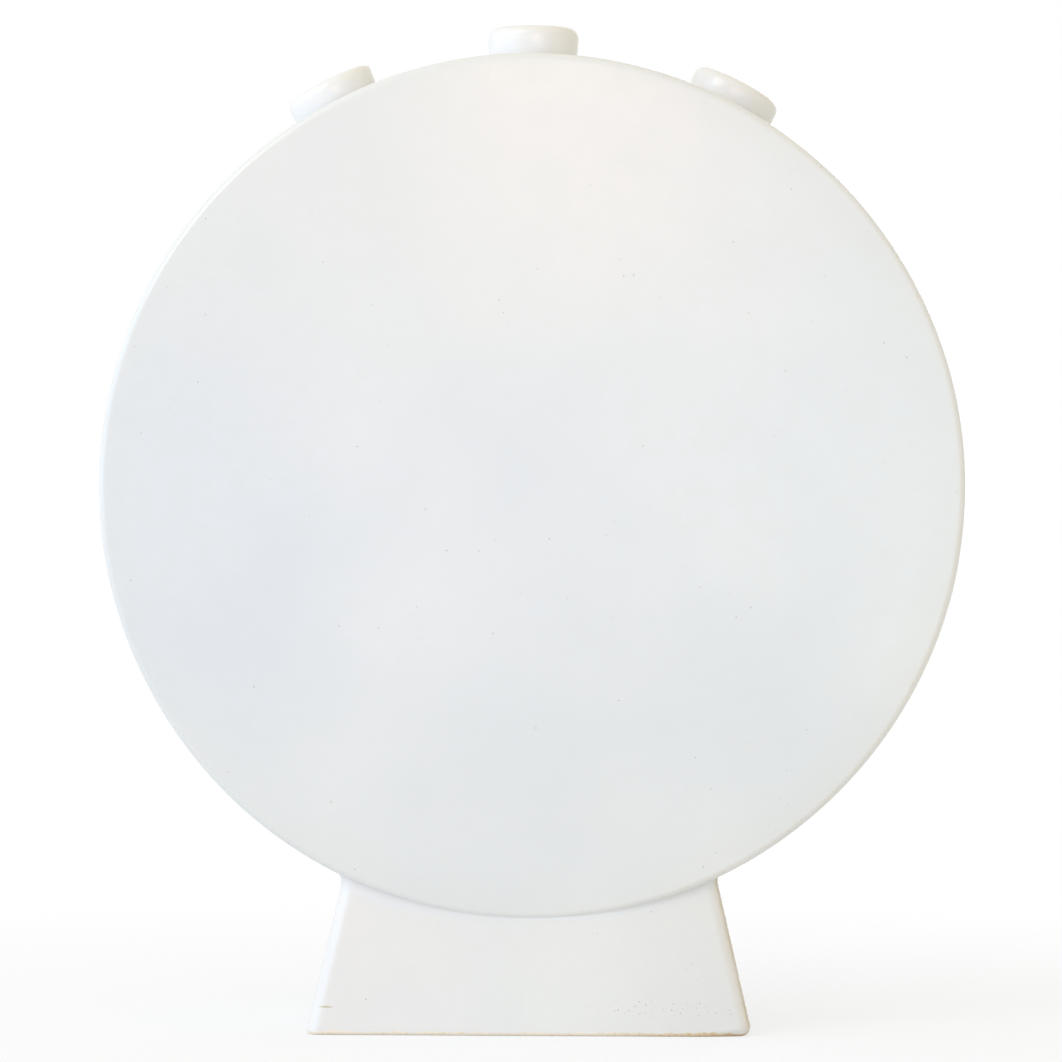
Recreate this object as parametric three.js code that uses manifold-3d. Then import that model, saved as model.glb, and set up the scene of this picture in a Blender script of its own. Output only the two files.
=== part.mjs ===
// Tulip vase, hand built from slabs of stoneware: a flat round hollow body stands on a flared
// hollow foot, and three short thrown spouts fan out along the top of its rim.
// Millimetres, +Z up. The origin is on the table under the middle of the foot. The front faces -Y,
// and +X is to the right as seen from the front.
import * as THREE from "three";
import { mergeVertices, toCreasedNormals } from "three/addons/utils/BufferGeometryUtils.js";
import Module from "manifold-3d";

const wasm = await Module();
wasm.setup();

// Body
const BODY_DIAMETER = 305;
const BODY_DEPTH = 76; // front face to back face
const BODY_LIFT = 39.5; // table to the lowest point of the rim
const SLAB_THICKNESS = 7; // front and back slabs
const BAND_THICKNESS = 7; // strip bent round the rim between the slabs
const RIM_ROUND = 2.6; // rounded arris of each slab
const ROLL_WIDTH = 16; // outer ring of each face, which rolls back to the arris
const ROLL_DROP = 0.4; // depth of that roll
const SPLICE_SLANT = THREE.MathUtils.degToRad(60); // scarfed ends of the band, from square
const SEAM_COIL_LEG = 9; // coil in the inside corner between slab and band

// Spouts
const SPOUT_FAN = THREE.MathUtils.degToRad(27.1); // from one spout to the next
const SPOUT_DIAMETER = 33.4; // widest, under the lip
const SPOUT_NECK = 31.4; // narrowest, on the band
const SPOUT_BORE = 20;
const CENTRE_SPOUT_HEIGHT = 12.6; // lip above the rim
const SIDE_SPOUT_HEIGHT = 10.6;
const LIP_ROUND = 3.4; // outer edge of the lip
const MOUTH_ROUND = 1.6; // inner edge of the lip

// Foot
const FOOT_WIDTH = 157; // at the table, before the arris is rounded
const FOOT_SPREAD = 8; // past each face of the body, at the table
const FOOT_FLARE = THREE.MathUtils.degToRad(12.8); // lean of each wall
const FOOT_THICKNESS = 8;
const FOOT_CORNER_ROUND = 5; // upright corners
const FOOT_ARRIS_ROUND = 1.5; // lower edge
const CORNER_COIL_LEG = 8; // coil in an inside corner of the foot
const CORNER_COIL_LIFT = 4; // table to the lower end of that coil
const SADDLE_COIL_DIAMETER = 8; // coil under the body, along the front and back walls

// Slip line left between luted pieces
const LUTE_GAP = 0.3;

// Hollow of a pressed coil's face, as a share of its leg
const COIL_HOLLOW = 0.3;

// Length of a cutter, as a multiple of what it cuts through
const OVERCUT = 3;

// Facets
const BODY_FACETS = 96;
const SPOUT_FACETS = 40;
const COIL_FACETS = 48;
const COIL_SIDES = 10;
const SADDLE_STEPS = 24;
const ARC_STEPS = 3;
const ARRIS_STEPS = 4;
const LIP_STEPS = 2;
const SMOOTH_WITHIN = THREE.MathUtils.degToRad(35);

// Sizes that follow
const BODY_RADIUS = BODY_DIAMETER / 2;
const BODY_CENTRE = BODY_LIFT + BODY_RADIUS;
const SEAM_PLANE = BODY_DEPTH / 2 - SLAB_THICKNESS; // slab meets band here, front and back
const CHAMBER_RADIUS = BODY_RADIUS - BAND_THICKNESS;
const FOOT_DEPTH = BODY_DEPTH + 2 * FOOT_SPREAD;
const LEAN = Math.tan(FOOT_FLARE);
const WALL_ACROSS = FOOT_THICKNESS / Math.cos(FOOT_FLARE); // level thickness of a leaning wall
const FOOT_TOP = BODY_CENTRE - Math.sqrt(BODY_RADIUS ** 2 - (FOOT_WIDTH / 2) ** 2); // above the cope
const CAVITY_HALF_WIDTH = FOOT_WIDTH / 2 - WALL_ACROSS; // at the table
const CAVITY_HALF_DEPTH = FOOT_DEPTH / 2 - WALL_ACROSS;

// Finishes
const glaze = () => new THREE.MeshStandardMaterial({ color: 0xecedea, roughness: 0.35, metalness: 0 });
const bareClay = () => new THREE.MeshStandardMaterial({ color: 0xd8c9b0, roughness: 0.9, metalness: 0 });

// A solid that can be joined and cut, from a closed geometry
function solid(geometry) {
  const bare = geometry.clone();
  bare.deleteAttribute("normal");
  bare.deleteAttribute("uv");
  const merged = mergeVertices(bare);
  return new wasm.Manifold(
    new wasm.Mesh({
      numProp: 3,
      vertProperties: Float32Array.from(merged.attributes.position.array),
      triVerts: Uint32Array.from(merged.index.array),
    }),
  );
}

// The geometry of a joined or cut solid
function shape(body) {
  const mesh = body.getMesh();
  const geometry = new THREE.BufferGeometry();
  geometry.setAttribute("position", new THREE.BufferAttribute(mesh.vertProperties, 3));
  geometry.setIndex(new THREE.BufferAttribute(mesh.triVerts, 1));
  return toCreasedNormals(geometry, SMOOTH_WITHIN);
}

function piece(name, geometry, material) {
  const mesh = new THREE.Mesh(geometry, material);
  mesh.name = name;
  return mesh;
}

// A closed solid through level outlines that run anticlockwise and have as many points each
function loft(sections) {
  const count = sections[0].outline.length;
  const top = count * (sections.length - 1);
  const positions = sections.flatMap(({ outline, z }) => outline.flatMap(({ x, y }) => [x, y, z]));
  const index = [];
  for (let ring = 0; ring < top; ring += count) {
    for (let i = 0; i < count; i++) {
      const here = ring + i;
      const next = ring + ((i + 1) % count);
      index.push(here, next, next + count, here, next + count, here + count);
    }
  }
  for (const [a, b, c] of THREE.ShapeUtils.triangulateShape(sections[0].outline, [])) {
    index.push(a, c, b, top + a, top + b, top + c);
  }
  const geometry = new THREE.BufferGeometry();
  geometry.setAttribute("position", new THREE.Float32BufferAttribute(positions, 3));
  geometry.setIndex(index);
  return geometry;
}

function roundedRectangle(halfWidth, halfDepth, radius) {
  const x = halfWidth - radius;
  const y = halfDepth - radius;
  const outline = new THREE.Path();
  const corners = [[x, y], [-x, y], [-x, -y], [x, -y]];
  corners.forEach(([cornerX, cornerY], quarter) => {
    const start = (quarter * Math.PI) / 2;
    outline.absarc(cornerX, cornerY, radius, start, start + Math.PI / 2);
  });
  return outline.getPoints(ARC_STEPS);
}

function rectangle(halfWidth, halfDepth) {
  const corners = [[1, 1], [-1, 1], [-1, -1], [1, -1]];
  return corners.map(([x, y]) => new THREE.Vector2(x * halfWidth, y * halfDepth));
}

// The round of the body, about its own centre, which other pieces are coped to
function bodyRound(length) {
  const radius = BODY_RADIUS + LUTE_GAP;
  return new THREE.CylinderGeometry(radius, radius, length, BODY_FACETS);
}

// A slab lies on its seam plane at y = 0 and faces +Y. Its face rolls back into a rounded arris.
function slab() {
  const rollFoot = SLAB_THICKNESS - ROLL_DROP;
  const arrisRadius = BODY_RADIUS - RIM_ROUND;
  const rollRadius = BODY_RADIUS - ROLL_WIDTH;
  const profile = new THREE.Path();
  profile.moveTo(0, 0);
  profile.lineTo(BODY_RADIUS, 0);
  profile.absarc(arrisRadius, rollFoot - RIM_ROUND, RIM_ROUND, 0, Math.PI / 2);
  profile.quadraticCurveTo((arrisRadius + rollRadius) / 2, SLAB_THICKNESS, rollRadius, SLAB_THICKNESS);
  profile.lineTo(0, SLAB_THICKNESS);
  return new THREE.LatheGeometry(profile.getPoints(ARC_STEPS), BODY_FACETS);
}

// A coil pressed into the corner under a slab, inside the band
function seamCoil() {
  const outer = CHAMBER_RADIUS - LUTE_GAP;
  const inner = outer - SEAM_COIL_LEG;
  const hollow = SEAM_COIL_LEG * COIL_HOLLOW;
  const profile = new THREE.Path();
  profile.moveTo(outer, -SEAM_COIL_LEG);
  profile.lineTo(outer, 0);
  profile.lineTo(inner, 0);
  profile.quadraticCurveTo(outer - hollow, -hollow, outer, -SEAM_COIL_LEG);
  return new THREE.LatheGeometry(profile.getPoints(ARC_STEPS), COIL_FACETS);
}

// The hole through the band under a spout
function bandBore(turn) {
  const radius = SPOUT_BORE / 2;
  const bore = new THREE.CylinderGeometry(radius, radius, BAND_THICKNESS * OVERCUT, SPOUT_FACETS);
  bore.rotateX(Math.PI / 2);
  bore.translate(0, 0, BODY_RADIUS - BAND_THICKNESS / 2);
  return bore.rotateY(turn);
}

// The strip round the rim. Its scarfed ends meet at the bottom, inside the foot.
function rimBand() {
  const profile = new THREE.Path();
  profile.moveTo(CHAMBER_RADIUS, -SEAM_PLANE);
  profile.lineTo(BODY_RADIUS, -SEAM_PLANE);
  profile.lineTo(BODY_RADIUS, SEAM_PLANE);
  profile.lineTo(CHAMBER_RADIUS, SEAM_PLANE);
  profile.closePath();
  let band = solid(new THREE.LatheGeometry(profile.getPoints(), BODY_FACETS));
  for (const turn of [-SPOUT_FAN, 0, SPOUT_FAN]) {
    band = band.subtract(solid(bandBore(turn)));
  }
  const scarf = BAND_THICKNESS / Math.cos(SPLICE_SLANT);
  const splice = new THREE.BoxGeometry(LUTE_GAP, SEAM_PLANE * OVERCUT, scarf * OVERCUT);
  splice.rotateY(SPLICE_SLANT);
  splice.translate(0, 0, BAND_THICKNESS / 2 - BODY_RADIUS);
  return shape(band.subtract(solid(splice)));
}

// A spout stands upright on the rim, about the body's centre, and is coped to the band.
function spout(height) {
  const bore = SPOUT_BORE / 2;
  const neck = SPOUT_NECK / 2;
  const widest = SPOUT_DIAMETER / 2;
  const lip = Math.min(LIP_ROUND, widest - bore - MOUTH_ROUND);
  const skirt = Math.sqrt(BODY_RADIUS ** 2 - neck ** 2) - BODY_RADIUS;
  const profile = new THREE.Path();
  profile.moveTo(bore, skirt);
  profile.lineTo(neck, skirt);
  profile.lineTo(neck, 0);
  profile.quadraticCurveTo(widest, (height - lip) / 2, widest, height - lip);
  profile.absarc(widest - lip, height - lip, lip, 0, Math.PI / 2);
  profile.absarc(bore + MOUTH_ROUND, height - MOUTH_ROUND, MOUTH_ROUND, Math.PI / 2, Math.PI);
  profile.closePath();
  const blank = new THREE.LatheGeometry(profile.getPoints(LIP_STEPS), SPOUT_FACETS);
  blank.rotateX(Math.PI / 2);
  blank.translate(0, 0, BODY_RADIUS);
  return shape(solid(blank).subtract(solid(bodyRound(SPOUT_DIAMETER * OVERCUT))));
}

// The outline of the foot at a height, drawn in by the rounding of its lower arris
function footSection(z, inset) {
  const drawnIn = z * LEAN + inset;
  const halfWidth = FOOT_WIDTH / 2 - drawnIn;
  const halfDepth = FOOT_DEPTH / 2 - drawnIn;
  return { z, outline: roundedRectangle(halfWidth, halfDepth, FOOT_CORNER_ROUND) };
}

function cavitySection(z) {
  return { z, outline: rectangle(CAVITY_HALF_WIDTH - z * LEAN, CAVITY_HALF_DEPTH - z * LEAN) };
}

// All four walls of the foot, open below and coped to the round of the body above
function footShell() {
  const sections = [];
  for (let step = 0; step <= ARRIS_STEPS; step++) {
    const turn = (step / ARRIS_STEPS) * (Math.PI / 2);
    const z = FOOT_ARRIS_ROUND * (1 - Math.cos(turn));
    sections.push(footSection(z, FOOT_ARRIS_ROUND * (1 - Math.sin(turn))));
  }
  sections.push(footSection(FOOT_TOP, 0));
  const cavity = loft([cavitySection(-FOOT_ARRIS_ROUND), cavitySection(FOOT_TOP + FOOT_ARRIS_ROUND)]);
  return solid(loft(sections)).subtract(solid(cavity)).subtract(bodyAboveFoot());
}

function bodyAboveFoot() {
  return solid(bodyRound(FOOT_DEPTH * OVERCUT).translate(0, 0, BODY_CENTRE));
}

// The walls meet in mitres at the corners. Seen from above, the mitres run in at 45 degrees to the
// ends of a ridge line, and each wall stands back from them by half a slip line.
const RIDGE_END = (FOOT_WIDTH - FOOT_DEPTH) / 2;
const MITRE_BACK = (LUTE_GAP / 2) * Math.SQRT2;

function frontRegion() {
  const near = RIDGE_END - MITRE_BACK;
  const far = near + FOOT_DEPTH;
  return new THREE.Shape()
    .moveTo(-near, 0)
    .lineTo(-far, -FOOT_DEPTH)
    .lineTo(far, -FOOT_DEPTH)
    .lineTo(near, 0);
}

function rightRegion() {
  const near = RIDGE_END + MITRE_BACK;
  const far = near + FOOT_DEPTH;
  return new THREE.Shape().moveTo(near, 0).lineTo(far, -FOOT_DEPTH).lineTo(far, FOOT_DEPTH);
}

function footWall(shell, region) {
  const block = new THREE.ExtrudeGeometry(region, { depth: FOOT_TOP, bevelEnabled: false });
  return shape(shell.intersect(solid(block)));
}

// A coil down an inside corner of the foot, coped to the body at its upper end. The corner lies
// towards sideX and sideY, a number of quarter turns round from the back right one.
function cornerCoil(sideX, sideY, quarter) {
  const hollow = CORNER_COIL_LEG * COIL_HOLLOW;
  const outline = new THREE.Path();
  outline.moveTo(0, 0);
  outline.lineTo(-CORNER_COIL_LEG, 0);
  outline.quadraticCurveTo(-hollow, -hollow, 0, -CORNER_COIL_LEG);
  const points = outline.getPoints(ARC_STEPS);
  const section = (z) => {
    const drawnIn = new THREE.Vector2(-z * LEAN, -z * LEAN);
    return { z, outline: points.map((point) => point.clone().add(drawnIn)) };
  };
  const coil = loft([section(CORNER_COIL_LIFT), section(FOOT_TOP)]);
  coil.rotateZ((quarter * Math.PI) / 2);
  coil.translate(sideX * (CAVITY_HALF_WIDTH - LUTE_GAP), sideY * (CAVITY_HALF_DEPTH - LUTE_GAP), 0);
  return shape(solid(coil).subtract(bodyAboveFoot()));
}

// The line of the coil under the body, along the inside of the back wall
class SaddleLine extends THREE.Curve {
  getPoint(t, target = new THREE.Vector3()) {
    const half = SADDLE_COIL_DIAMETER / 2;
    const radius = BODY_RADIUS + LUTE_GAP + half;
    const end = CAVITY_HALF_WIDTH - FOOT_TOP * LEAN - CORNER_COIL_LEG - half;
    const turn = Math.asin(end / radius) * (2 * t - 1);
    const z = BODY_CENTRE - radius * Math.cos(turn);
    const wall = CAVITY_HALF_DEPTH - z * LEAN;
    return target.set(radius * Math.sin(turn), wall - (half + LUTE_GAP) / Math.cos(FOOT_FLARE), z);
  }
}

function saddleCoil() {
  const section = new THREE.Shape().absarc(0, 0, SADDLE_COIL_DIAMETER / 2, 0, Math.PI * 2);
  return new THREE.ExtrudeGeometry(section, {
    steps: SADDLE_STEPS,
    curveSegments: COIL_SIDES / 2,
    extrudePath: new SaddleLine(),
    bevelEnabled: false,
  });
}

// Two like pieces, the second turned half round about the vertical
function pair(name, turnedName, build, material) {
  const turned = piece(turnedName, build(), material());
  turned.rotation.z = Math.PI;
  return [piece(name, build(), material()), turned];
}

function makeBody() {
  const body = new THREE.Group();
  body.position.z = BODY_CENTRE;
  const slabs = pair("back_disc", "front_disc", slab, glaze);
  const coils = pair("back_seam_coil", "front_seam_coil", seamCoil, bareClay);
  for (const [back, front] of [slabs, coils]) {
    front.position.y = -SEAM_PLANE;
    back.position.y = SEAM_PLANE;
    body.add(front, back);
  }
  body.add(piece("rim_band", rimBand(), glaze()));
  const spouts = [
    ["spout_left", -SPOUT_FAN, SIDE_SPOUT_HEIGHT],
    ["spout_centre", 0, CENTRE_SPOUT_HEIGHT],
    ["spout_right", SPOUT_FAN, SIDE_SPOUT_HEIGHT],
  ];
  for (const [name, turn, height] of spouts) {
    const fanned = new THREE.Group();
    fanned.rotation.y = turn;
    fanned.add(piece(name, spout(height), glaze()));
    body.add(fanned);
  }
  return body;
}

function makeFoot() {
  const foot = new THREE.Group();
  const shell = footShell();
  foot.add(...pair("foot_front", "foot_back", () => footWall(shell, frontRegion()), glaze));
  foot.add(...pair("foot_right", "foot_left", () => footWall(shell, rightRegion()), glaze));
  const corners = [
    ["back_right", 1, 1],
    ["back_left", -1, 1],
    ["front_left", -1, -1],
    ["front_right", 1, -1],
  ];
  corners.forEach(([corner, sideX, sideY], quarter) => {
    foot.add(piece(`foot_corner_coil_${corner}`, cornerCoil(sideX, sideY, quarter), bareClay()));
  });
  foot.add(...pair("back_saddle_coil", "front_saddle_coil", saddleCoil, bareClay));
  return foot;
}

const vase = new THREE.Group();
vase.add(makeBody(), makeFoot());

export default vase;
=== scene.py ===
"""Looks of the tulip vase: a flat round body of white glazed stoneware on a flared foot, with three
short spouts along the top of its rim. Metres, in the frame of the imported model, front towards -Y."""
import math

import bmesh
import bpy
import numpy as np
from mathutils import Matrix, Vector, noise


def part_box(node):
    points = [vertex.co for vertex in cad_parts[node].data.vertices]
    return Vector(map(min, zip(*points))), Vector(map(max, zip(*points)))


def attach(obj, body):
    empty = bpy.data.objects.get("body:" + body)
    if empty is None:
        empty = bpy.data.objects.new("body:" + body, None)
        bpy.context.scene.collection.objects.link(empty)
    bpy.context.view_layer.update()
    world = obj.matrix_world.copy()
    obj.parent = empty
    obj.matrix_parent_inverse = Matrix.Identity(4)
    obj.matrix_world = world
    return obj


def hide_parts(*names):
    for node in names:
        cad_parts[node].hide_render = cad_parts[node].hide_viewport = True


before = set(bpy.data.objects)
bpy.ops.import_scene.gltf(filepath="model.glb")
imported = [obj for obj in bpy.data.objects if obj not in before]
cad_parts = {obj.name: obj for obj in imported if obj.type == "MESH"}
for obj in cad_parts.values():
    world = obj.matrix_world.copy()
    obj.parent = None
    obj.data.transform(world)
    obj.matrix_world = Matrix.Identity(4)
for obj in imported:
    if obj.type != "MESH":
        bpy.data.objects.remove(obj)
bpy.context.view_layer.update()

MM = 0.001

# Hand building: no wall is quite true. The body, the foot and the lips of the spouts are made smaller
# than their solids by the waver. Every glazed piece is then moved by a slow noise of its place, so that
# pieces that touch keep together.
WAVER = 0.35 * MM
WAVER_LENGTH = 85 * MM
WAVER_DETAIL = 2.5
FLAT_BASE = 20 * MM  # the table keeps the lowest part level

# Body
disc_low, disc_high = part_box("front_disc")
BODY_RADIUS = (disc_high.x - disc_low.x) / 2 - WAVER
BODY_CENTRE = (disc_high.z + disc_low.z) / 2
SEAM_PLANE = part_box("rim_band")[1].y
SLAB = -disc_low.y - SEAM_PLANE - WAVER
BAND = 7 * MM
RIM_ROUND = 2.6 * MM
ROLL_WIDTH = 16 * MM
ROLL_DROP = 0.3 * MM
SEAM_DIP = 0.22 * MM  # the luted seam shows through the glaze as a soft dip
SEAM_SOFT = 1.3 * MM
SPLICE_GAP = 0.4 * MM
SPLICE_SLANT = math.radians(60)

# Spouts
SPOUT_FAN = math.radians(27.1)
SPOUT_WIDEST = 33.4 * MM / 2
SPOUT_NECK = 31.4 * MM / 2
SPOUT_BORE = 20 * MM / 2
LIP_ROUND = 3.4 * MM
MOUTH_ROUND = 1.6 * MM
CENTRE_SPOUT_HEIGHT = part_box("spout_centre")[1].z - disc_high.z
SIDE_SPOUT_HEIGHT = CENTRE_SPOUT_HEIGHT - 2 * MM
NECK_FILLET = 1.7 * MM  # glaze gathered where a spout sits on the band
NECK_SHADE = (5 * MM, 0.25)  # painted shade at the foot of a spout, drawn as pooled glaze: how far up it reaches, and how strong it is
SPOUT_SUNK = 0.6 * MM  # pressed into the band

# Foot
FOOT_ARRIS = 1.5 * MM
FOOT_WEAR = 2.8 * MM  # the right end of the foot was sponged rounder
WEAR_REACH = (0.75, 1)  # over these shares of its half width
FOOT_LEAN = math.tan(math.radians(12.8))
FOOT_HALF_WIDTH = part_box("foot_right")[1].x + FOOT_ARRIS * FOOT_LEAN - WAVER
FOOT_HALF_DEPTH = -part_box("foot_front")[0].y + FOOT_ARRIS * FOOT_LEAN - WAVER
FOOT_CORNER = 5 * MM
WALL = 8 * MM * math.hypot(1, FOOT_LEAN)  # 8 mm thick, measured level
FOOT_SUNK = 0.5 * MM  # pressed into the band
FOOT_FILLET = (2.4 * MM, 1.4 * MM)  # glaze gathered under the body: down the wall and out along the rim
LEFT_FILLET = (5 * MM, 3.4 * MM)  # the same at the left end, where more of it ran together
LEFT_REACH = (0.1, 0.8)  # over these shares of the foot's half width
FILLET_STOP = 0.3  # a fillet stops this far short of the face, as a share of the rim's rounding
INNER_ARRIS = 1.2 * MM

# Coils inside the foot
CORNER_COIL_LEG = 8 * MM
CORNER_COIL_LIFT = 4 * MM
SADDLE_COIL = 8 * MM / 2
COIL_HOLLOW = 0.3  # hollow of a pressed coil's face, as a share of its leg
COIL_STEP = 1.2 * MM
COIL_AROUND = 24
FINGER_PITCH = 13 * MM  # one press of a fingertip after the other
FINGER_DRIFT = 20 * MM  # length over which the pitch wanders
FINGER_DENT = 0.12  # as a share of the coil's thickness
FINGER_SEED = 1.7

# Glaze
GLAZE_LINE = 1.3 * MM  # wiped clean below this height, so that the foot doesn't stick to the shelf
PIT_RADIUS = 0.4 * MM
PIT_SIZES = (0.4, 1.15)  # shares of that radius
PIT_FACING = (0.5, 0.9)  # none on faces that look less outwards than this, and all of them past this
PIT_CROWD = 180000.0  # to the square metre where they crowd
PIT_FEW = 0.0095  # share of that over the rest
PIT_SPACING = 1.2 * MM
CROWD_PLACE = (45 * MM, 9.6 * MM)  # across and up the front of the foot
CROWD_REACH = (24 * MM, 3 * MM)
CROWD_FADE = (0.6, 1.3)  # shares of that reach over which the crowd thins out
TEAR_PLACE = (-70.8 * MM, -41 * MM, 9.7 * MM)  # the glaze crawled back at one end of the foot
TEAR_REACH = (4 * MM, 9 * MM, 0.6 * MM)
SPRAY_REACH = 150 * MM  # sprayed from the left, so that edges to the right are thinner; the painted shade in hollows is also stronger to the right
SPRAY_LEAST = 0.35  # how far edges at the left end thin, and how much painted shade their hollows take, as a share of those at the right
THIN_BEND = 3 * MM  # an edge as tight as this thins the glaze as far as it can
HOLLOW_SHADE_BEND = 0.8 * MM  # a hollow as tight as this takes all the painted shade that it can, drawn as pooled glaze
JOINT_BEND = 0.7 * MM  # tighter edges are joints, which are luted and don't show
FLOW_PASSES = 3  # how far thin and thick glaze run into each other
BARE_DEPTH = (3 * MM, 6 * MM)  # the glaze stops this far behind the face of the foot's walls
BARE_UNDER = (0.7, 0.75)  # and this far below the middle of the body, as shares of its radius

# Sizes of the patterns in glaze and clay
COAT_SIZE = 75 * MM  # over which its thickness drifts
MOTTLE_SIZE = 5 * MM
SPECK_SIZE = 1.1 * MM
GROG_SIZE = 1.3 * MM
RAGGED_SIZE = 4 * MM  # of the torn edge of the glaze
RAGGED_REACH = 2.2 * MM
PEEL_SIZE = 2 * MM  # about 1 mm in a sprayed glaze, drawn at twice that so that it shows
BLUSH_SIZE = 18 * MM
SAND_SIZE = 0.9 * MM
CLAY_DARKENS_ACROSS = (15 * MM, 72 * MM)  # across the foot, where the bare clay turns from pale to darker towards the right
GLAZE_ROUGHNESS = 0.23
GLAZE_SHEEN = (0.205, 0.26)  # how the roughness of the glaze varies round that
CLAY_ROUGHNESS = 0.92
CERAMIC_IOR = 1.5

# Whites over the coat's usual white: tints of the faces, and painted light and shade on the spouts and foot
USUAL_WHITE = "#E8EDF2"
SPOUT_PAINTED_LIGHT = "#F0F2F6"  # painted light: drawn whiter than the body, for light that falls on the spouts
SPOUT_PAINTED_SHADE = "#E5E9E7"  # painted shade on the side of each spout away from the light
SPOUT_SHADE_REACH = (0.1, 0.9)  # over these shares of the spout's radius
DISC_LEFT = "#E1E7EF"  # cooler and greyer on the left of each face
DISC_LEFT_ACROSS = (-125 * MM, -25 * MM)  # full before the first, and none past the second
DISC_LEFT_LOW = (50 * MM, 140 * MM)  # fades in over these heights
DISC_LEFT_HIGH = (210 * MM, 290 * MM)  # fades again over these
DISC_LEFT_LOST = 0.5  # share that is lost at the top
DISC_CLOUD = "#E5EAEE"  # a duller cloud, low on the right
CLOUD_PLACE = (60 * MM, 130 * MM)  # across and up
CLOUD_REACH = (75 * MM, 70 * MM)
# Painted light on the left of the foot, and painted shade on its right
FOOT_PAINTED_LIGHT = "#EDEFF4"
FOOT_LIGHT_ACROSS = (-70 * MM, 0)
FOOT_PAINTED_SHADE = "#E2E6EB"
FOOT_SHADE_ACROSS = (10 * MM, 72 * MM)
FOOT_EDGE_SHADE = "#C9BDA2"  # painted shade along the right corners, drawn as glaze broken through to the clay
EDGE_TURN = (64, 20)  # degrees round from the front or back to the middle of that edge, and its spread
EDGE_LENGTH = 12 * MM  # the shade runs unevenly, in runs of about this length
EDGE_SHARE = (0.8, 0.5)  # how strong the shade is, and how much that varies

# How finely pieces are turned and swept
BODY_TURN = 288
SPOUT_TURN = 96
FACE_STEPS = 25
ROLL_STEPS = 10
ROUND_STEPS = 12
SMALL_ROUND_STEPS = 8
SEAM_STEPS = 8
BORE_STEPS = 7
INSIDE_STEPS = 11
CORNER_STEPS = 9
WALL_COLUMNS = 59
WALL_RINGS = 27
FOOT_ARRIS_STEPS = 7
INNER_RINGS = 13
INNER_ARRIS_STEPS = 4
SADDLE_STEPS = 30
COPE_PASSES = 30  # rounds that fit the top of a leaning wall to the body
HUB = 0.5 * MM  # turning radius of the axis itself, taken off every profile
WELD = 0.01 * MM
CREASE = math.radians(40)
SEED = 7


def linear(colour):
    """sRGB hex to linear RGBA."""
    channels = (int(colour[i:i + 2], 16) / 255 for i in (1, 3, 5))
    straight = (c / 12.92 if c <= 0.04045 else ((c + 0.055) / 1.055) ** 2.4 for c in channels)
    return (*straight, 1.0)


def node(tree, kind, inputs=None, **settings):
    """Adds a node with its settings, and sets or links its inputs by name or number."""
    made = tree.nodes.new(kind)
    for name, value in settings.items():
        setattr(made, name, value)
    for key, value in (inputs or {}).items():
        for one in value if isinstance(value, list) else [value]:
            if isinstance(one, bpy.types.NodeSocket):
                tree.links.new(one, made.inputs[key])
            else:
                made.inputs[key].default_value = one
    return made


# Trees that turn, press and skin the clay


def new_tree(name, sizes):
    """A geometry tree with named inputs, and the sockets that give them."""
    tree = bpy.data.node_groups.new(name, "GeometryNodeTree")
    tree.interface.new_socket("Geometry", in_out="OUTPUT", socket_type="NodeSocketGeometry")
    tree.interface.new_socket("Geometry", in_out="INPUT", socket_type="NodeSocketGeometry")
    for label, kind in sizes.items():
        tree.interface.new_socket(label, in_out="INPUT", socket_type=f"NodeSocket{kind}")
    return tree, node(tree, "NodeGroupInput").outputs


def end_tree(tree, geometry, material):
    """Ends a tree with real geometry of one material."""
    real = node(tree, "GeometryNodeRealizeInstances", {"Geometry": geometry})
    painted = node(tree, "GeometryNodeSetMaterial", {"Geometry": real.outputs[0], "Material": material})
    node(tree, "NodeGroupOutput", {"Geometry": painted.outputs[0]})
    return tree


def run_tree(tree, mesh, sizes):
    """The plain mesh that a tree makes of a mesh."""
    host = bpy.data.objects.new("clay", mesh)
    bpy.context.collection.objects.link(host)
    modifier = host.modifiers.new("tree", "NODES")
    modifier.node_group = tree
    for item in tree.interface.items_tree:
        if item.in_out == "INPUT" and item.name in sizes:
            modifier[item.identifier] = sizes[item.name]
    return plain_mesh(host)


def plain_mesh(host):
    """The evaluated mesh of a working object, which is then thrown away."""
    made = bpy.data.meshes.new_from_object(host.evaluated_get(bpy.context.evaluated_depsgraph_get()))
    bpy.data.objects.remove(host)
    return made


def turning_tree():
    """Turns a profile round an axis, as on a wheel: x is out from the axis and -y is along it."""
    tree, given = new_tree("turned_profile", {
        "Steps": "Int", "Hub": "Float", "Turn": "Rotation", "Place": "Vector", "Material": "Material"})
    profile = node(tree, "GeometryNodeMeshToCurve", {"Mesh": given["Geometry"]})
    axis = node(tree, "GeometryNodeCurvePrimitiveCircle", {
        "Resolution": given["Steps"], "Radius": given["Hub"]})
    turned = node(tree, "GeometryNodeCurveToMesh", {
        "Curve": axis.outputs["Curve"], "Profile Curve": profile.outputs["Curve"]})
    placed = node(tree, "GeometryNodeTransform", {
        "Geometry": turned.outputs["Mesh"], "Translation": given["Place"], "Rotation": given["Turn"]})
    return end_tree(tree, placed.outputs["Geometry"], given["Material"])


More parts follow.
